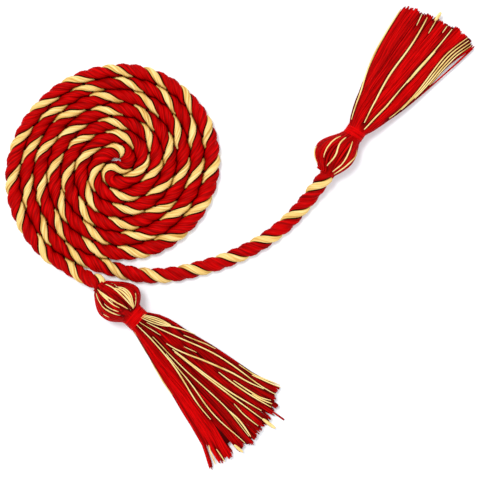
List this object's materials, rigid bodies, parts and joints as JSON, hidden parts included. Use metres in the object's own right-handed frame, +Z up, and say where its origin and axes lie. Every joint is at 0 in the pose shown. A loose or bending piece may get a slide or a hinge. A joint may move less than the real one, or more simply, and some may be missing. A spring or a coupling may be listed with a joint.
{
  "type": "honor cord",
  "caption": "Twisted honor cord wound flat into a double spiral, with a free stretch and a bulb-headed tassel on each end, lying on a surface.",
  "frame": {"origin": "on the surface that the cord lies on, under the middle of the box that holds the two tassels", "axes": "+Z up from the surface, +Y away from the viewer, in the direction that the upper tassel points, +X to the right of the picture"},
  "size_m": [0.2642, 0.2598, 0.0256],
  "materials": {
    "cord_yarn": "silky rayon yarn, red with gold",
    "band_yarn": "silky rayon yarn, red"
  },
  "bodies": {
    "root": {"cord_coil": "cord_yarn", "cord_lead": "cord_yarn", "lower_tassel_head": "cord_yarn", "lower_tassel_band": "band_yarn", "lower_tassel_skirt": "cord_yarn", "upper_tassel_head": "cord_yarn", "upper_tassel_band": "band_yarn", "upper_tassel_skirt": "cord_yarn"}
  },
  "joints": []
}
